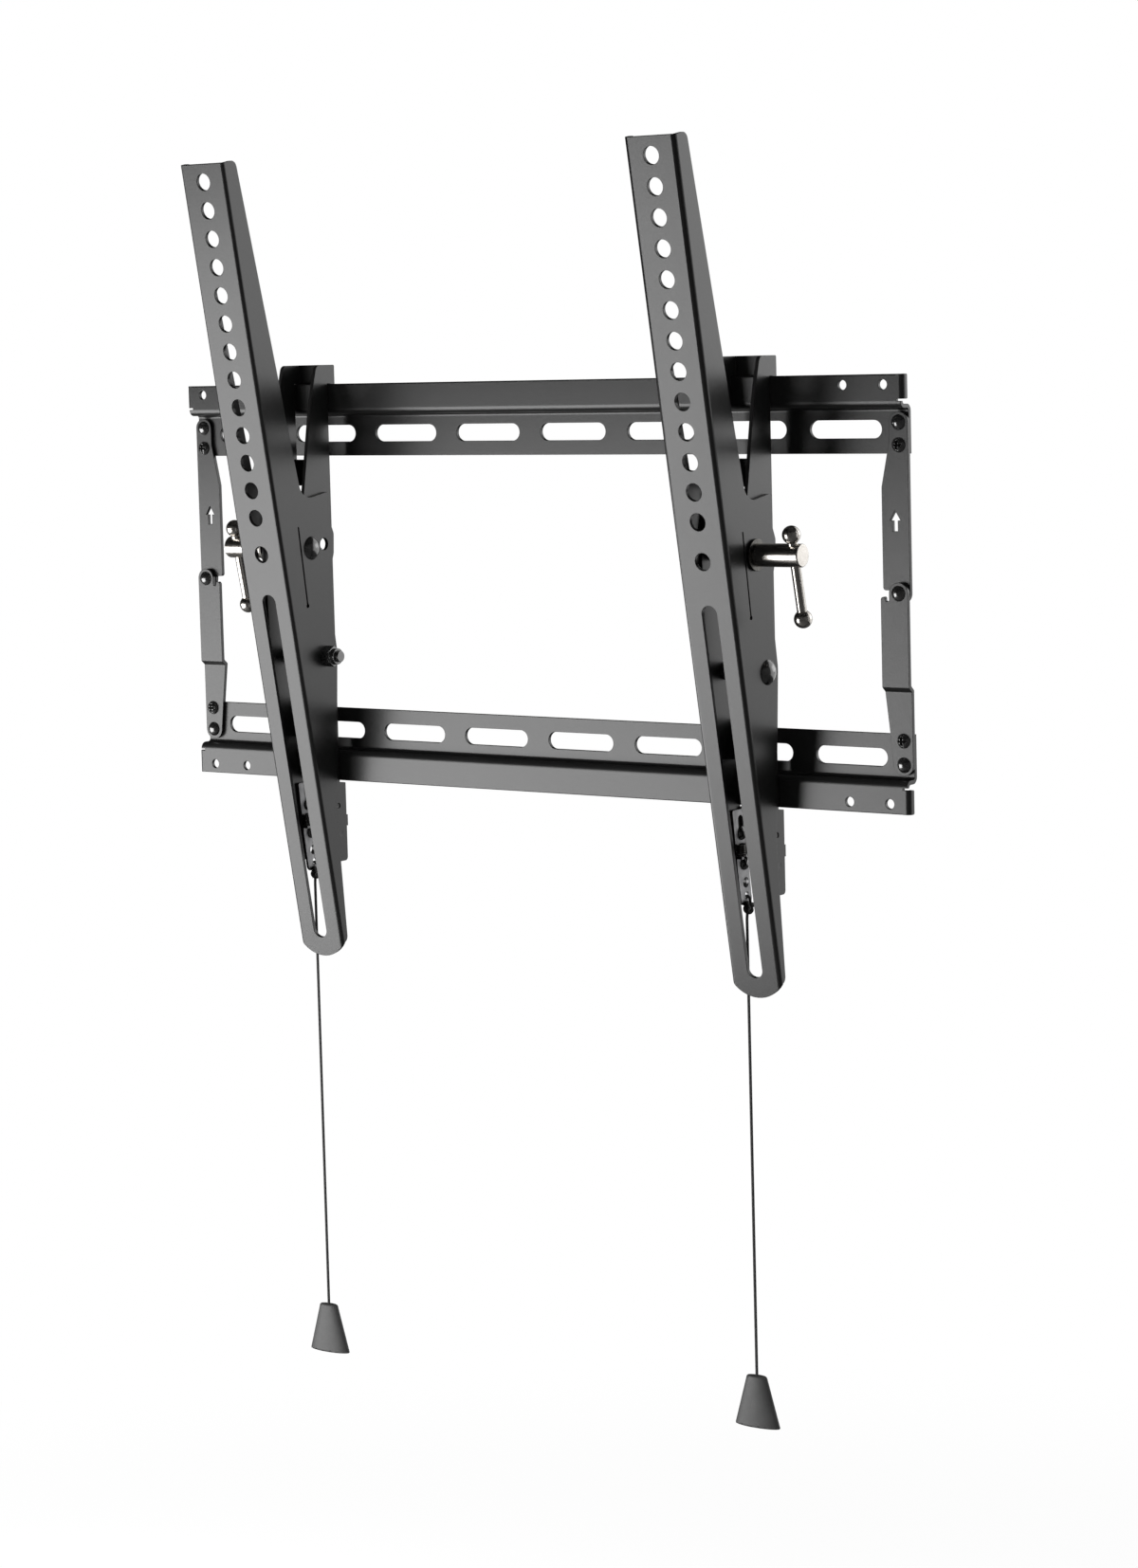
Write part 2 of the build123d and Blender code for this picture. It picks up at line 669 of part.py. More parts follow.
cord_x = (latch_back_x + latch_face_x) / 2
knot_flat = sqrt((knot_d / 2) ** 2 - (knot_flat_d / 2) ** 2)
knot_z = latch_foot_z - knot_flat
cord_top_z = knot_z - knot_flat
knot = Sphere(knot_d / 2) & Box(2 * knot_d, 2 * knot_d, 2 * knot_flat)
knot = Pos(cord_x, cord_y, knot_z) * knot
cord = Pos(cord_x, cord_y, (cord_top_z + handle_top_z) / 2) * Cylinder(cord_d / 2, cord_top_z - handle_top_z)
handle_low_z = handle_top_z - handle_h
handle = loft([
    Pos(Z=handle_low_z) * Ellipse(handle_low_w / 2, handle_low_t / 2),
    Pos(Z=handle_top_z) * Ellipse(handle_top_w / 2, handle_top_t / 2),
])
handle = Pos(cord_x, cord_y) * handle

for side, x in (("left", -arm_x), ("right", arm_x)):
    shift = Pos(X=x)
    save(f"{side}_latch_plate", shift * latch)
    save(f"{side}_latch_rivets", Compound(children=[shift * rivet for rivet in latch_rivets]))
    save(f"{side}_latch_spring", shift * spring)
    save(f"{side}_cord", shift * cord)
    save(f"{side}_cord_knot", shift * knot)
    save(f"{side}_pull_handle", shift * handle)

print(f"clamp axis at rest: y {clamp_y:.3f}, z {clamp_z:.3f}")
print(f"tommy bar axis: x {arm_x + bar_x:.3f} on the right, lean {bar_lean}")
print("cords hang straight, with no bends")
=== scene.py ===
from collections import namedtuple
from math import cos, pi, radians, sin, tan

import bpy
from mathutils import Matrix, Vector


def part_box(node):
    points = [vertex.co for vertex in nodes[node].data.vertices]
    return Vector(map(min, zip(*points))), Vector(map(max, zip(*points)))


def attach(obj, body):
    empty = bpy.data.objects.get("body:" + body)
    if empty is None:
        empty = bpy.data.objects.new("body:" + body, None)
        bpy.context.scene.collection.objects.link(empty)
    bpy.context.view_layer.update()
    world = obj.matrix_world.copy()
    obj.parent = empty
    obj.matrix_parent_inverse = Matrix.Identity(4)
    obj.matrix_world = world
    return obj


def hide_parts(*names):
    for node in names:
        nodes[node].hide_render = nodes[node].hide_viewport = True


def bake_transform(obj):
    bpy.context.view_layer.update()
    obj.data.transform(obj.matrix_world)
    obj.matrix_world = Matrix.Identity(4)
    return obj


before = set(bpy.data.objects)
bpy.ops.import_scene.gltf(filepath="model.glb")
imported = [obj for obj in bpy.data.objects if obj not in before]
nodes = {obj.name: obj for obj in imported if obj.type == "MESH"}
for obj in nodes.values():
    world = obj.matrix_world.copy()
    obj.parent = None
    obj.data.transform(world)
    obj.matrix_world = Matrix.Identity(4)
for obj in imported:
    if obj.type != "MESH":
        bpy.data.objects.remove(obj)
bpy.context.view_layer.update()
MM = 0.001
Spans = namedtuple("Spans", "x y z")


def spans(name):
    """Lowest and highest X, Y and Z of a CAD piece, to 0.01 mm."""
    return Spans(*((round(low, 5), round(high, 5)) for low, high in zip(*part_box(name))))


def middle(span):
    return sum(span) / 2


SIDES = {side: middle(spans(f"{side}_arm").x) for side in ("left", "right")}    # middle of each arm, X

# Camera, as the photograph was taken
IMAGE_WIDTH = 1200
IMAGE_HEIGHT = 1654
FOCAL_PX = 3984.94
CENTRE_PX = (566.31, 739.72)
CAMERA_AT = Vector((1.17046, -1.59156, 0.13176))
YAW = radians(36.368)
PITCH = radians(5.562)
ROLL = radians(1.541)
SENSOR = 36.0             # width, mm

# Stage
FLOOR_Z = -0.8
FLOOR_SIZE = 60.0
FLOOR_GREY = 0.85
FLOOR_LIFT = 0.5          # glow of the lit floor, for the rays that see the background
FLOOR_SHADOW_R = 1.6      # the floor is lit as a surface within this radius
FLOOR_FADE = 0.6          # share of that radius where plain white starts to mix in
WORLD_AMBIENT = 0.42
STUDIO_PLAN = ((2.6, 0.6), (2.6, -3.0), (0.0, -3.0), (-2.6, -3.0), (-2.6, 1.6), (0.0, 1.6))
PALE_WALLS = 2            # first walls of the plan, right and front right
PALE_WALL_GREY = 0.25
DARK_WALL_GREY = 0.12
STUDIO_Z = (-0.78, 1.6)

# Soft lamps: place, aim, width, height and radiance
KEY_LAMP = ((-0.70, -0.73, -0.35), (0, 0, -0.35), 1.04, 0.74, 5.2)
BACK_LAMP = ((0.95, 1.25, 0.3), (0, 0, 0.0), 1.0, 0.7, 1.2)

# Edges: the coat's shading rounds those of the sheet, and a bevel those of the slots in EDGE_WIDTH
WELD = 0.01 * MM
FLAT_ANGLE = radians(0.4)
SHEET_ROUND = 0.45 * MM
SHEET_ROUND_SAMPLES = 6
EDGE_ANGLE = radians(32)
EDGE_SEGMENTS = 3
EDGE_WIDTH = {
    "black_fixings": 0.3 * MM,
    "nickel": 0.25 * MM,
    "black_plastic": 0.9 * MM,
}

# Cross recesses of the lock screws, whose places are taken from the links' edges and ends
UPPER_LINK = spans("left_upper_link")
LOWER_LINK = spans("left_lower_link")
SCREW_X = -UPPER_LINK.x[0] - 5.3 * MM
SCREW_Z = (UPPER_LINK.z[1] - 16.3 * MM, LOWER_LINK.z[0] + 17.2 * MM)
RECESS_DEPTH = 1.13 * MM
RECESS_Y = spans("link_lock_screws").y[0] + RECESS_DEPTH
RECESS_LENGTH = 4.36 * MM
RECESS_WIDTH = 1.06 * MM
RECESS_RISE = 0.35 * MM
RECESS_DISH = 0.2         # share of the rise that is left at the middle
QUARTER_TURNS = ((1, 0), (0, 1), (-1, 0), (0, -1))    # cosine and sine

# Row of the latch's rivets, read on the left and the same on the right
RIVETS = spans("left_latch_rivets")
RIVET_HEAD_R = 3.65 * MM
RIVET_Y = RIVETS.y[0] + RIVET_HEAD_R
RIVET_LOW_Z = RIVETS.z[0] + RIVET_HEAD_R
RIVET_TOP_Z = RIVETS.z[1] - RIVET_HEAD_R
LATCH_LEAN = radians(7)


def row_y(z):
    """Y on the leaning row, which starts at the upper rivet."""
    return RIVET_Y + (RIVET_TOP_Z - z) * tan(LATCH_LEAN)


# Release latch and cord, read on the left and the same on the right, X from the middle of the arm
SPRING = spans("left_latch_spring")
SPRING_X = middle(SPRING.x) - SIDES["left"]
SPRING_Y = middle(SPRING.y)
SPRING_LOW_Z, SPRING_TOP_Z = SPRING.z
SPRING_R = 2.0 * MM
SPRING_WIRE_R = 0.48 * MM
SPRING_TURNS = 6
SPRING_STEPS = 24         # in each turn
SPRING_SIDES = 10
CORD = spans("left_cord")
CORD_X = middle(CORD.x) - SIDES["left"]
CORD_Y = middle(CORD.y)
CORD_LOW_Z, CORD_TOP_Z = CORD.z
CORD_D = 1.5 * MM
PLATE = spans("left_latch_plate")
PLATE_T = 1.5 * MM
PLATE_X = (PLATE.x[0] - SIDES["left"], PLATE.x[0] - SIDES["left"] + PLATE_T)
PLATE_GAP = 0.6 * CORD_D  # from the plate to the middle of the loop
HOLE_Z = PLATE.z[0] + 4.9 * MM
HOLE_Y = row_y(HOLE_Z)
KNOT_X = CORD_X + 2.45 * MM
KNOT_Y = CORD_Y - 1.7 * MM
KNOT_Z = CORD_TOP_Z + 6.02 * MM
KNOT_STEPS = 132
KNOT_RING = 1.95 * MM     # mean radius of the wraps
KNOT_SWING = 0.9 * MM     # their swing in and out
KNOT_DEPTH = 1.1 * MM     # their swing along X
KNOT_SQUASH = 0.95
WRAP_R = 0.62 * CORD_D
LOOP_R = 0.47 * CORD_D
TAIL_R = 0.45 * CORD_D
LEAD_OVERLAP = 0.2 * MM   # of the knot's lead and the cord
THICK_SIDES = 12
THIN_SIDES = 10
FIBRE_COUNT = 8
FIBRE_TURN = 2.4          # radians from one fibre to the next
FIBRE_R = 0.1 * MM
FIBRE_STEPS = 4
FIBRE_SIDES = 5

# Rivet ends in the bracket's right flank, X from the middle of the arm: (z, radius, dimple)
SHEET = 2.0 * MM
FLANK_FACE = spans("left_hook_bracket").x[1] - SIDES["left"]
FLANK_X = (FLANK_FACE - SHEET, FLANK_FACE)
FLANK_ENDS = (
    (RIVET_TOP_Z, 2.05 * MM, 0.6 * MM),
    (RIVET_LOW_Z, 2.05 * MM, 0.08 * MM),
    (RIVET_LOW_Z - 10.0 * MM, 2.7 * MM, 0.0),
)
CAP_LIP = 0.65 * MM
CAP_SEAT = 0.05 * MM      # underside of the lip, sunk in the flank
CAP_RISE = 0.01 * MM
CAP_SIDES = 32
DIMPLE = ((0.8, 0.0), (0.7, 0.2), (0.55, 0.8), (0.0, 1.0))    # shares of the radius and of the depth

# Noise textures mostly keep between these two values
NOISE_LOW = 0.3
NOISE_HIGH = 0.7

# Braid of the cord
BRAID_TWIST = 380.0       # half waves in each metre
BRAID_STRANDS = 4.0       # half waves round the cord


def new_object(name, data):
    """Object in the scene."""
    obj = bpy.data.objects.new(name, data)
    bpy.context.scene.collection.objects.link(obj)
    return obj


def mesh_object(name, points, faces, smooth_faces=True):
    """Mesh in the scene, with all its faces shaded smooth or all flat."""
    mesh = bpy.data.meshes.new(name)
    mesh.from_pydata(points, [], faces)
    mesh.polygons.foreach_set("use_smooth", [smooth_faces] * len(mesh.polygons))
    mesh.update()
    return new_object(name, mesh)


def tube(path, radius, sides):
    """Points and faces of a round tube along a list of points, closed at both ends."""
    points = []
    faces = []
    side = Vector((1, 0, 0))
    for i, at in enumerate(path):
        ahead = (path[min(i + 1, len(path) - 1)] - path[max(i - 1, 0)]).normalized()
        side = (side - ahead * side.dot(ahead)).normalized()
        up = ahead.cross(side)
        for k in range(sides):
            turn = 2 * pi * k / sides
            points.append(at + radius * (cos(turn) * side + sin(turn) * up))
    for i in range(len(path) - 1):
        for k in range(sides):
            a = i * sides + k
            b = i * sides + (k + 1) % sides
            faces.append((a, b, b + sides, a + sides))
    last = (len(path) - 1) * sides
    faces.append(tuple(range(sides - 1, -1, -1)))
    faces.append(tuple(last + k for k in range(sides)))
    return points, faces


# Materials

def add_node(tree, kind, inputs=None, **settings):
    """Node with its settings, and a value or a link at each of its inputs."""
    made = tree.nodes.new(kind)
    for key, value in settings.items():
        setattr(made, key, value)
    for key, value in (inputs or {}).items():
        if isinstance(value, bpy.types.NodeSocket):
            tree.links.new(value, made.inputs[key])
        else:
            made.inputs[key].default_value = value
    return made


class Shader:
    """A Principled material, with the few node forms that these finishes use."""

    def __init__(self, name, colour, roughness, metallic=0.0, specular=0.5):
        self.material = bpy.data.materials.new(name)
        self.material.use_nodes = True
        self.tree = self.material.node_tree
        self.surface = self.tree.nodes["Principled BSDF"]
        self.set("Base Color", (*colour, 1))
        self.set("Roughness", roughness)
        self.set("Metallic", metallic)
        self.set("Specular IOR Level", specular)

    def set(self, socket, value):
        self.surface.inputs[socket].default_value = value

    def node(self, kind, inputs=None, **settings):
        return add_node(self.tree, kind, inputs, **settings)

    def place(self):
        """Object coordinates, in metres."""
        return self.node("ShaderNodeTexCoord").outputs["Object"]

    def noise(self, scale, detail, place=None):
        inputs = {"Vector": place or self.place(), "Scale": scale, "Detail": detail}
        return self.node("ShaderNodeTexNoise", inputs).outputs["Fac"]

    def ramp(self, value, low, high, start=NOISE_LOW, end=NOISE_HIGH):
        """Colours low to high as value goes from start to end."""
        made = self.node("ShaderNodeValToRGB", {"Fac": value})
        made.color_ramp.elements[0].position = start
        made.color_ramp.elements[0].color = (*low, 1)
        made.color_ramp.elements[1].position = end
        made.color_ramp.elements[1].color = (*high, 1)
        return made.outputs["Color"]

    def spread(self, value, low, high):
        """A noise's range spread over low to high."""
        inputs = {
            "Value": value,
            "From Min": NOISE_LOW,
            "From Max": NOISE_HIGH,
            "To Min": low,
            "To Max": high,
        }
        return self.node("ShaderNodeMapRange", inputs).outputs["Result"]

    def math(self, operation, *values):
        return self.node("ShaderNodeMath", dict(enumerate(values)), operation=operation).outputs[0]

    def link(self, socket, output):
        self.tree.links.new(output, self.surface.inputs[socket])

    def bump(self, height, strength, distance, normal=None):
        inputs = {"Height": height, "Strength": strength, "Distance": distance}
        if normal:
            inputs["Normal"] = normal
        return self.node("ShaderNodeBump", inputs).outputs["Normal"]


def grey(value):
    return (value, value, value)


def powder_coat(name, rounded=True):
    """Black powder coat: a fine pebbled skin with a satin sheen, if rounded run over the sheet's edges."""
    coat = Shader(name, colour=grey(0.014), roughness=0.32, specular=0.65)
    cloud = coat.noise(scale=38, detail=3)
    grain = coat.noise(scale=1900, detail=2)
    coat.link("Base Color", coat.ramp(cloud, low=grey(0.012), high=grey(0.016)))
    coat.link("Roughness", coat.spread(grain, low=0.28, high=0.36))
    rounds = None
    if rounded:
        edges = coat.node("ShaderNodeBevel", {"Radius": SHEET_ROUND}, samples=SHEET_ROUND_SAMPLES)
        rounds = edges.outputs["Normal"]
    peel = coat.bump(coat.noise(scale=620, detail=2), strength=0.10, distance=0.15 * MM, normal=rounds)
    coat.link("Normal", coat.bump(grain, strength=0.16, distance=0.06 * MM, normal=peel))
    return coat.material


def black_fixing():
    """Glossy black dip on rivets, bolts and nuts."""
    black = Shader("black_fixings", colour=grey(0.016), roughness=0.2)
    black.set("Coat Weight", 1.0)
    black.set("Coat IOR", 2.1)
    black.set("Coat Roughness", 0.2)
    cloud = black.noise(scale=420, detail=3)
    black.link("Base Color", black.ramp(cloud, low=grey(0.012), high=grey(0.021)))
    black.link("Roughness", black.spread(cloud, low=0.16, high=0.24))
    ripple = black.noise(scale=1500, detail=2)
    black.link("Normal", black.bump(ripple, strength=0.03, distance=0.04 * MM))
    return black.material


def nickel_plate():
    """Bright nickel, with a faint cloud and ripple."""
    plate = Shader("nickel", colour=(0.67, 0.64, 0.6), roughness=0.22, metallic=1.0)
    cloud = plate.noise(scale=300, detail=3)
    plate.link("Base Color", plate.ramp(cloud, low=(0.62, 0.59, 0.55), high=(0.72, 0.69, 0.65)))
    haze = plate.noise(scale=900, detail=3)
    plate.link("Roughness", plate.spread(haze, low=0.17, high=0.27))
    ripple = plate.noise(scale=2600, detail=1)
    plate.link("Normal", plate.bump(ripple, strength=0.04, distance=0.03 * MM))
    return plate.material


def zinc_plate():
    """Dull zinc on the stamped latch and the pivot's spacer, with upright streaks."""
    zinc = Shader("zinc", colour=(0.26, 0.26, 0.265), roughness=0.5, metallic=1.0)
    stretched = zinc.node("ShaderNodeMapping", {"Vector": zinc.place(), "Scale": (1, 1, 0.08)})
    streaks = zinc.noise(scale=1700, detail=3, place=stretched.outputs["Vector"])
    cloud = zinc.noise(scale=260, detail=4)
    zinc.link("Base Color", zinc.ramp(cloud, low=(0.2, 0.2, 0.205), high=(0.32, 0.32, 0.325)))
    zinc.link("Roughness", zinc.spread(streaks, low=0.42, high=0.6))
    zinc.link("Normal", zinc.bump(streaks, strength=0.1, distance=0.05 * MM))
    return zinc.material


def spring_wire():
    """Dark oiled spring wire."""
    wire = Shader("spring_steel", colour=(0.16, 0.155, 0.15), roughness=0.32, metallic=1.0)
    cloud = wire.noise(scale=900, detail=3)
    wire.link("Base Color", wire.ramp(cloud, low=(0.11, 0.107, 0.104), high=(0.21, 0.205, 0.2)))
    wire.link("Roughness", wire.spread(cloud, low=0.26, high=0.42))
    return wire.material


def braid():
    """Thin black cord: strands that wind both ways round it."""
    cord = Shader("cord", colour=grey(0.03), roughness=0.7)
    place = cord.place()
    around = cord.node("ShaderNodeTexGradient", {"Vector": place}, gradient_type="RADIAL").outputs["Fac"]
    along = cord.node("ShaderNodeSeparateXYZ", {"Vector": place}).outputs["Z"]
    waves = []
    for hand in (1, -1):
        turn = cord.math("MULTIPLY", along, hand * BRAID_TWIST)
        phase = cord.math("MULTIPLY_ADD", around, BRAID_STRANDS, turn)
        waves.append(cord.math("PINGPONG", phase, 1.0))
    weave = cord.math("MAXIMUM", *waves)
    cord.link("Base Color", cord.ramp(weave, low=grey(0.014), high=grey(0.05), start=0.2, end=0.9))
    fuzz = cord.bump(cord.noise(scale=5200, detail=3), strength=0.25, distance=0.1 * MM)
    cord.link("Normal", cord.bump(weave, strength=0.7, distance=0.25 * MM, normal=fuzz))
    return cord.material


def moulded_plastic():
    """Matt black moulding with a spark-eroded grain."""
    plastic = Shader("black_plastic", colour=grey(0.062), roughness=0.5)
    grain = plastic.noise(scale=2400, detail=3)
    cloud = plastic.noise(scale=120, detail=2)
    plastic.link("Base Color", plastic.ramp(cloud, low=grey(0.056), high=grey(0.068)))
    plastic.link("Roughness", plastic.spread(grain, low=0.44, high=0.58))
    plastic.link("Normal", plastic.bump(grain, strength=0.22, distance=0.08 * MM))
    return plastic.material


def painted_recess_shade():
    """Painted shade: a near-black matt colour that stands in for the shade at the bottom of a screw's
    recess.
    """
    pit_shade = Shader("screw_recess", colour=grey(0.006), roughness=0.9, specular=0.05)
    cloud = pit_shade.noise(scale=1200, detail=3)
    pit_shade.link("Base Color", pit_shade.ramp(cloud, low=grey(0.003), high=grey(0.01)))
    return pit_shade.material


def painted_shade_washer():
    """Washer face in painted shade: the plated washer's colour darkened to stand in for the shade and dark
    reflections it shows, with worn, brighter patches of its plating.
    """
    face = Shader("washer_painted_shade", colour=(0.1, 0.096, 0.09), roughness=0.35, metallic=1.0)
    wear = face.noise(scale=700, detail=3)
    face.link("Base Color", face.ramp(wear, low=(0.05, 0.048, 0.045), high=(0.16, 0.154, 0.145)))
    face.link("Roughness", face.spread(wear, low=0.3, high=0.45))
    return face.material


finishes = {
    "black_coat": powder_coat("black_coat"),
    "black_fixings": black_fixing(),
    "nickel": nickel_plate(),
    "zinc": zinc_plate(),
    "spring_steel": spring_wire(),
    "cord": braid(),
    "black_plastic": moulded_plastic(),
}


def finish_of(obj, slot, material=None):
    """Give a piece the slot's finish, or a material of its own."""
    obj.data.materials.clear()
    obj.data.materials.append(material or finishes[slot])


# CAD pieces

def dress(name, slot):
    """Finish a CAD piece, clear its mesh of flat seams, and bevel its edges where its slot has a width."""
    obj = nodes[name]
    finish_of(obj, slot)
    weld = obj.modifiers.new("weld", "WELD")
    weld.merge_threshold = WELD
    flat = obj.modifiers.new("flat", "DECIMATE")
    flat.decimate_type = "DISSOLVE"
    flat.angle_limit = FLAT_ANGLE
    if slot in EDGE_WIDTH:
        edge = obj.modifiers.new("edge", "BEVEL")
        edge.width = EDGE_WIDTH[slot]
        edge.segments = EDGE_SEGMENTS
        edge.limit_method = "ANGLE"
        edge.angle_limit = EDGE_ANGLE
        edge.use_clamp_overlap = False
    shade = obj.modifiers.new("shade", "WEIGHTED_NORMAL")
    shade.keep_sharp = True


FRAME_NODES = {
    "black_coat": ("top_rail", "bottom_rail"),
    "black_fixings": ("rail_rivets", "knee_rivets", "link_lock_screws"),
}
SIDE_NODES = {
    "black_coat": ("upper_link", "lower_link", "arm", "hook_bracket"),
    "black_fixings": ("clamp_bolt", "pivot_bolt", "pivot_nut", "latch_rivets"),
    "nickel": ("clamp_washer", "clamp_boss", "tommy_bar", "tommy_balls"),
    "zinc": ("latch_plate", "pivot_spacer"),
    "black_plastic": ("pull_handle",),
}
for slot, names in FRAME_NODES.items():
    for name in names:
        dress(name, slot)
for side in SIDES:
    for slot, names in SIDE_NODES.items():
        for name in names:
            dress(f"{side}_{name}", slot)

# Clamp washers keep the nickel slot, with a colour darkened as painted shade
shaded_washer_face = painted_shade_washer()
for side in SIDES:
    finish_of(nodes[f"{side}_clamp_washer"], "nickel", shaded_washer_face)


# Lock screws of the frame

def recess_shade_floors():
    """Dished floor in each screw's cross recess, which carries painted shade for the recess's dark bottom.
    """
    points = []
    faces = []
    half = RECESS_LENGTH / 2
    arm = RECESS_WIDTH / 2
    corner = [(half, -arm), (half, arm), (arm, arm)]
    for x in (-SCREW_X, SCREW_X):
        for z in SCREW_Z:
            first = len(points)
            ring = [(a * c - b * s, a * s + b * c) for c, s in QUARTER_TURNS for a, b in corner]
            count = len(ring)
            points += [(x + a, RECESS_Y, z + b) for a, b in ring]
            points += [(x + a, RECESS_Y - RECESS_RISE, z + b) for a, b in ring]
            points.append((x, RECESS_Y - RECESS_DISH * RECESS_RISE, z))
            for k in range(count):
                after = (k + 1) % count
                faces.append((first + k, first + after, first + count + after, first + count + k))
                faces.append((first + count + k, first + count + after, first + 2 * count))
            faces.append(tuple(first + k for k in range(count - 1, -1, -1)))
    floors = mesh_object("screw_recess_floors", points, faces)
    # Near-black floor colour: painted shade for the bottom of the cross recess
    finish_of(floors, "black_fixings", painted_recess_shade())
    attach(floors, "frame")


recess_shade_floors()


# Cords and what is on them

def release_cord(side, x):
    """Straight cord from the knot down to the pull."""
    route = [(0, 0, CORD_TOP_Z), (0, 0, (CORD_TOP_Z + CORD_LOW_Z) / 2), (0, 0, CORD_LOW_Z)]
    data = bpy.data.curves.new(f"{side}_release_cord", "CURVE")
    data.dimensions = "3D"
    spline = data.splines.new("NURBS")
    spline.points.add(len(route) - 1)
    for point, at in zip(spline.points, route):
        point.co = (*at, 1)
    spline.order_u = 3
    spline.use_endpoint_u = True
    data.bevel_depth = CORD_D / 2
    data.bevel_resolution = 4
    data.use_fill_caps = True
    cord = new_object(f"{side}_release_cord", data)
    cord.location = (x + CORD_X, CORD_Y, 0)
    finish_of(cord, "cord")
    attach(cord, f"{side}_latch")
    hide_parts(f"{side}_cord")
    return cord


def smooth(stops, steps=8):
    """Points of a smooth path through all the stops."""
    path = []
    for i in range(len(stops) - 1):
        before = stops[max(i - 1, 0)]
        here = stops[i]
        there = stops[i + 1]
        after = stops[min(i + 2, len(stops) - 1)]
        for k in range(steps):
            t = k / steps
            path.append(0.5 * (
                2 * here
                + (there - before) * t
                + (2 * before - 5 * here + 4 * there - after) * t ** 2
                + (3 * here - before - 3 * there + after) * t ** 3
            ))
    path.append(stops[-1])
    return path


def release_knot(side, x):
    """Knot on the right of the latch's foot, with its loop through the foot's hole and a frayed tail."""
    points = []
    faces = []

    def strand(path, radius, sides):
        more_points, more_faces = tube(path, radius, sides)
        faces.extend(tuple(len(points) + i for i in face) for face in more_faces)
        points.extend(more_points)

    knot_at = Vector((x + KNOT_X, KNOT_Y, KNOT_Z))
    centre = x + CORD_X
    left = x + PLATE_X[0] - PLATE_GAP
    right = x + PLATE_X[1] + PLATE_GAP

    def near(dx, dy, dz):
        """Place in mm from the knot's middle."""
        return knot_at + MM * Vector((dx, dy, dz))

    def by_hole(across, dy, dz):
        """Place at across, and in mm from the foot's hole along Y and Z."""
        return Vector((across, HOLE_Y + dy * MM, HOLE_Z + dz * MM))

    wraps = []
    for i in range(KNOT_STEPS + 1):
        t = 2 * pi * i / KNOT_STEPS
        ring = KNOT_RING + KNOT_SWING * cos(3 * t)
        out = Vector((KNOT_DEPTH * sin(3 * t), ring * cos(2 * t), KNOT_SQUASH * ring * sin(2 * t)))
        wraps.append(knot_at + out)
    strand(wraps, WRAP_R, THICK_SIDES)
    loop = [
        near(0.2, 0.9, 0.4),
        by_hole(right + 0.5 * MM, 0.5, -2.6),
        by_hole(right, 0.3, -1.0),
        by_hole(centre, 0.0, -0.5),
        by_hole(left, 0.0, -1.6),
        by_hole(left, 0.2, -4.4),
        by_hole(centre, -0.2, -5.9),
        near(-0.2, -0.3, -0.6),
    ]
    strand(smooth(loop), LOOP_R, THIN_SIDES)
    cord_top = Vector((centre, CORD_Y, CORD_TOP_Z - LEAD_OVERLAP))
    lead = [near(-0.4, 0.3, 0.8), near(-1.6, 1.0, -2.6), cord_top]
    strand(smooth(lead), CORD_D / 2, THICK_SIDES)
    tail = [near(0.8, -1.4, 0.3), near(1.3, -2.6, -0.5), near(1.5, -3.1, -1.7)]
    strand(smooth(tail), TAIL_R, THIN_SIDES)
    # Each fibre starts inside the tail's end, leans out and down, and curls
    for i in range(FIBRE_COUNT):
        turn = FIBRE_TURN * i
        drop = 0.35 + 0.15 * (i % 4)
        root = tail[-1] + MM * Vector((0.35 * cos(turn), 0.35 * sin(turn), 0.3))
        lean = MM * Vector((0.5 * cos(turn), 0.55 * sin(turn) - 0.2, -drop))
        curl = MM * Vector((0.25 * sin(3 * turn), 0.1, 0.15))
        fibre = smooth([root, root + lean, root + 1.8 * lean + curl], FIBRE_STEPS)
        strand(fibre, FIBRE_R, FIBRE_SIDES)
    knot = mesh_object(f"{side}_release_knot", points, faces)
    finish_of(knot, "cord")
    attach(knot, f"{side}_latch")
    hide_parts(f"{side}_cord_knot")
    return knot


def latch_spring(side, x):
    """Wound spring that stretches from the bracket to the latch."""
    path = []
    steps = SPRING_STEPS * SPRING_TURNS
    high = SPRING_TOP_Z - SPRING_WIRE_R
    low = SPRING_LOW_Z + SPRING_WIRE_R
    for i in range(steps + 1):
        t = i / steps
        turn = 2 * pi * SPRING_TURNS * t
        z = high + t * (low - high)
        path.append(Vector((x + SPRING_X + SPRING_R * cos(turn), SPRING_Y + SPRING_R * sin(turn), z)))
    spring = mesh_object(f"{side}_tension_spring", *tube(path, SPRING_WIRE_R, SPRING_SIDES))
    finish_of(spring, "spring_steel")
    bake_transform(spring)
    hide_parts(f"{side}_latch_spring")


flat_coat = powder_coat("black_coat_flat", rounded=False)


def rivet_ends(side, x):
    """Riveted ends that fill the holes of the bracket's right flank, some with a dimple."""
    points = []
    faces = []
    sides = CAP_SIDES
    for z, r, dimple in FLANK_ENDS:
        y = row_y(z)
        rear, face = (x + depth for depth in FLANK_X)
        seat = face - CAP_SEAT
        top = face + CAP_RISE
        profile = [
            (rear, 0.0),
            (rear, r),
            (seat, r),
            (seat, r + CAP_LIP),
            (top, r + CAP_LIP),
        ]
        profile += [(top - depth * dimple, share * r) for share, depth in DIMPLE]
        first = len(points)
        for px, pr in profile:
            for k in range(sides):
                turn = 2 * pi * k / sides
                points.append((px, y + pr * cos(turn), z + pr * sin(turn)))
        for i in range(len(profile) - 1):
            for k in range(sides):
                a = first + i * sides + k
                b = first + i * sides + (k + 1) % sides
                faces.append((a, b, b + sides, a + sides))
    ends = mesh_object(f"{side}_flank_rivet_ends", points, faces, smooth_faces=False)
    weld = ends.modifiers.new("weld", "WELD")
    weld.merge_threshold = WELD
    finish_of(ends, "black_coat", flat_coat)
    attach(ends, f"{side}_hook")


for side, x in SIDES.items():
    rivet_ends(side, x)
    cord = release_cord(side, x)
    knot = release_knot(side, x)
    latch_spring(side, x)


# Stage, lamps and camera

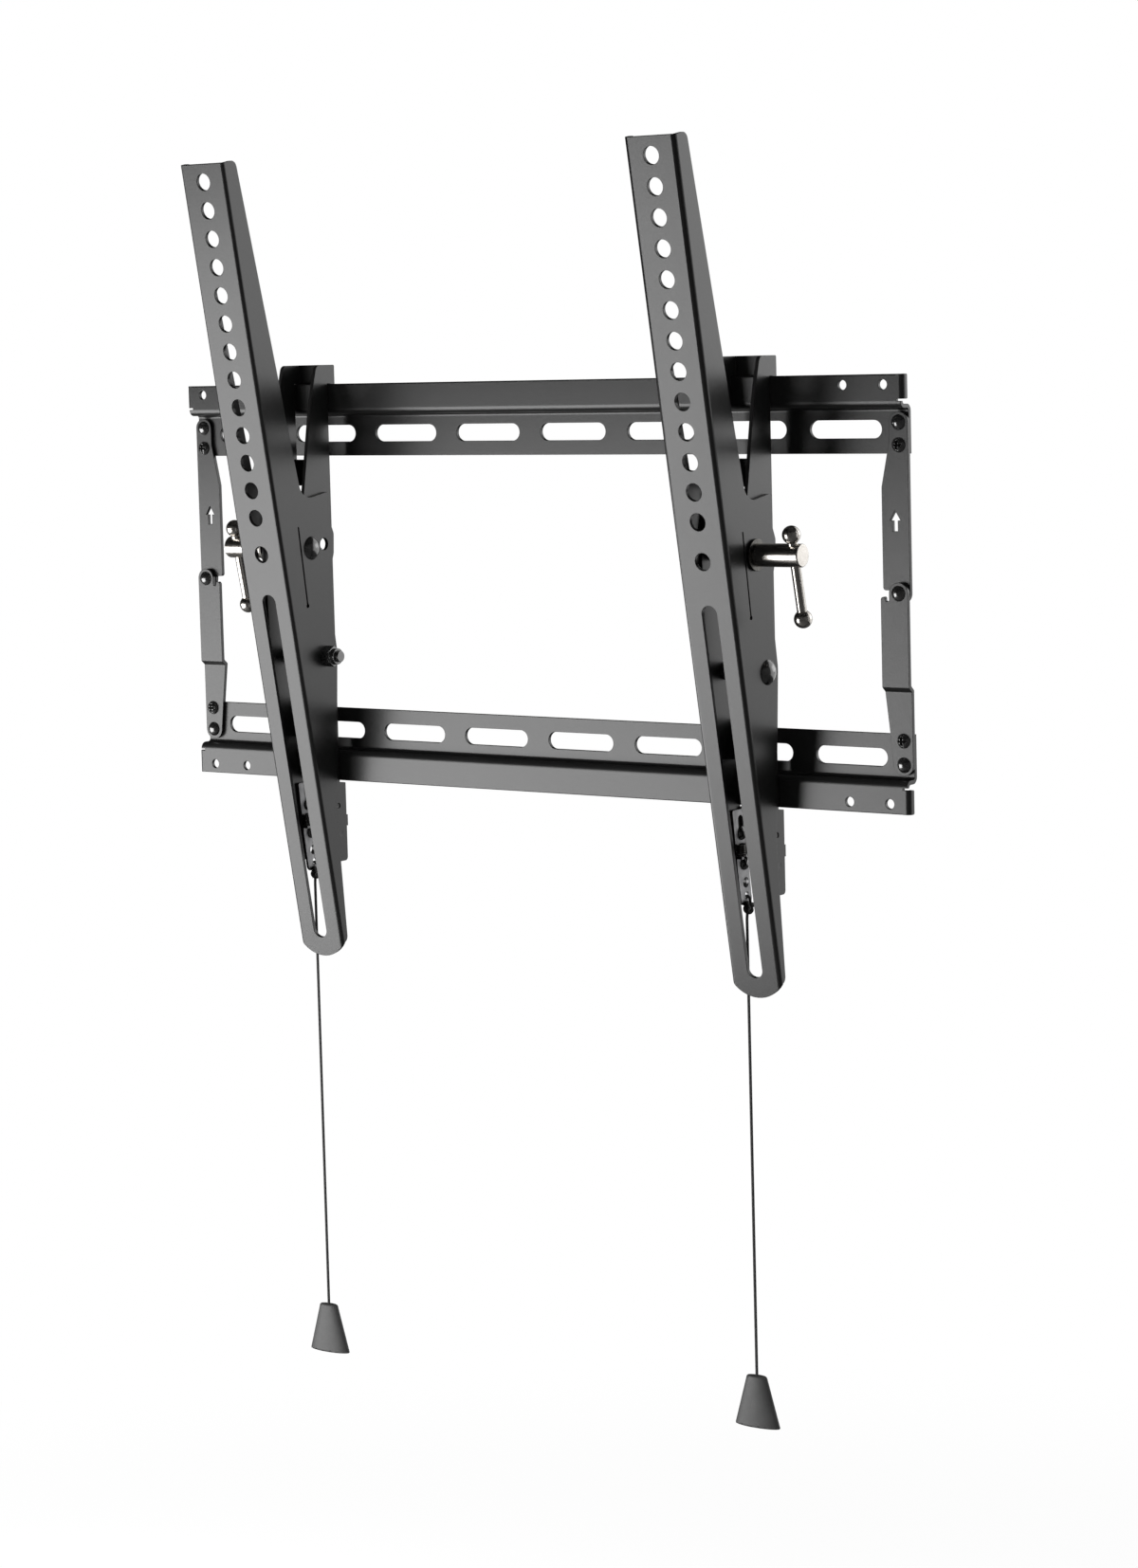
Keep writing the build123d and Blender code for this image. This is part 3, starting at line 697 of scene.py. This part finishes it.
def background_rays(tree):
    """1 for camera, glossy and transmission rays, 0 for the rays that light things."""
    path = add_node(tree, "ShaderNodeLightPath")
    total = path.outputs["Is Camera Ray"]
    for kind in ("Is Glossy Ray", "Is Transmission Ray"):
        either = add_node(tree, "ShaderNodeMath", {0: total, 1: path.outputs[kind]}, operation="MAXIMUM")
        total = either.outputs[0]
    return total


def mixed(tree, share, first, second):
    """First shader, with a share of the second mixed in."""
    inputs = {"Fac": share, 1: first.outputs[0], 2: second.outputs[0]}
    return add_node(tree, "ShaderNodeMixShader", inputs).outputs[0]


def white_world():
    """White background, and a weaker even light."""
    world = bpy.data.worlds.new("studio")
    world.use_nodes = True
    tree = world.node_tree
    tree.nodes.clear()
    white = (*grey(1.0), 1)
    light = add_node(tree, "ShaderNodeBackground", {"Color": white, "Strength": WORLD_AMBIENT})
    seen = add_node(tree, "ShaderNodeBackground", {"Color": white, "Strength": 1.0})
    add_node(tree, "ShaderNodeOutputWorld", {"Surface": mixed(tree, background_rays(tree), light, seen)})
    bpy.context.scene.world = world


def white_floor():
    """Pale floor: a lit surface that takes the shadow near the object, plain white further off."""
    half = FLOOR_SIZE / 2
    corners = [(x, y, FLOOR_Z) for x, y in ((-half, -half), (half, -half), (half, half), (-half, half))]
    floor = mesh_object("floor", corners, [(0, 1, 2, 3)])
    material = bpy.data.materials.new("pale_floor")
    material.use_nodes = True
    tree = material.node_tree
    tree.nodes.clear()
    rays = background_rays(tree)
    lit = add_node(tree, "ShaderNodeBsdfDiffuse", {"Color": (*grey(FLOOR_GREY), 1)})
    level = add_node(tree, "ShaderNodeMath", {0: rays, 1: FLOOR_LIFT}, operation="MULTIPLY")
    lift = add_node(tree, "ShaderNodeEmission", {"Strength": level.outputs[0]})
    near = add_node(tree, "ShaderNodeAddShader", {0: lit.outputs[0], 1: lift.outputs[0]})
    far = add_node(tree, "ShaderNodeEmission", {"Strength": rays})
    place = add_node(tree, "ShaderNodeTexCoord").outputs["Object"]
    reach = add_node(tree, "ShaderNodeVectorMath", {0: place}, operation="LENGTH")
    ends = {
        "Value": reach.outputs["Value"],
        "From Min": FLOOR_SHADOW_R * FLOOR_FADE,
        "From Max": FLOOR_SHADOW_R,
    }
    fade = add_node(tree, "ShaderNodeMapRange", ends, interpolation_type="SMOOTHSTEP").outputs["Result"]
    add_node(tree, "ShaderNodeOutputMaterial", {"Surface": mixed(tree, fade, near, far)})
    floor.data.materials.append(material)


def gloss_only(obj, name, level):
    """Give a stage piece a matt grey, and hide it from all but reflections."""
    material = bpy.data.materials.new(name)
    material.use_nodes = True
    surface = material.node_tree.nodes["Principled BSDF"]
    surface.inputs["Base Color"].default_value = (*grey(level), 1)
    surface.inputs["Roughness"].default_value = 1.0
    obj.data.materials.append(material)
    obj.visible_camera = False
    obj.visible_diffuse = False
    obj.visible_shadow = False
    obj.visible_transmission = False


def grey_studio():
    """Walls, ceiling and floor round the object, open behind on the right, seen in gloss alone."""
    count = len(STUDIO_PLAN)
    corners = [(x, y, z) for z in STUDIO_Z for x, y in STUDIO_PLAN]
    walls = [(i, i + 1, i + 1 + count, i + count) for i in range(count - 1)]
    lids = [tuple(range(count)), tuple(range(count, 2 * count))]
    pale = mesh_object("pale_walls", corners, walls[:PALE_WALLS])
    dark = mesh_object("dark_studio", corners, walls[PALE_WALLS:] + lids)
    gloss_only(pale, "studio_pale", PALE_WALL_GREY)
    gloss_only(dark, "studio_dark", DARK_WALL_GREY)


def soft_lamp(name, place, aim, width, height, radiance):
    """Oblong area lamp turned to its aim, unseen by the camera."""
    lamp = bpy.data.lights.new(name, "AREA")
    lamp.shape = "RECTANGLE"
    lamp.size = width
    lamp.size_y = height
    lamp.energy = radiance * pi * width * height
    obj = new_object(name, lamp)
    obj.location = place
    obj.rotation_euler = (Vector(aim) - obj.location).to_track_quat("-Z", "Y").to_euler()
    obj.visible_camera = False


def photo_camera():
    """Camera at the photograph's place and angle."""
    back = Vector((sin(YAW) * cos(PITCH), -cos(YAW) * cos(PITCH), sin(PITCH)))
    right = (-back).cross(Vector((0, 0, 1))).normalized()
    down = (-back).cross(right)
    across = cos(ROLL) * right + sin(ROLL) * down
    upward = sin(ROLL) * right - cos(ROLL) * down
    turn = Matrix((across, upward, back)).transposed().to_4x4()
    data = bpy.data.cameras.new("photo_camera")
    data.sensor_fit = "HORIZONTAL"
    data.sensor_width = SENSOR
    data.lens = FOCAL_PX / IMAGE_WIDTH * SENSOR
    data.shift_x = (IMAGE_WIDTH / 2 - CENTRE_PX[0]) / IMAGE_WIDTH
    data.shift_y = (CENTRE_PX[1] - IMAGE_HEIGHT / 2) / IMAGE_WIDTH
    camera = new_object("photo_camera", data)
    camera.matrix_world = Matrix.Translation(CAMERA_AT) @ turn
    bpy.context.scene.camera = camera


white_world()
white_floor()
grey_studio()
soft_lamp("key", *KEY_LAMP)
soft_lamp("back", *BACK_LAMP)
photo_camera()
bpy.context.scene.view_settings.view_transform = "Standard"
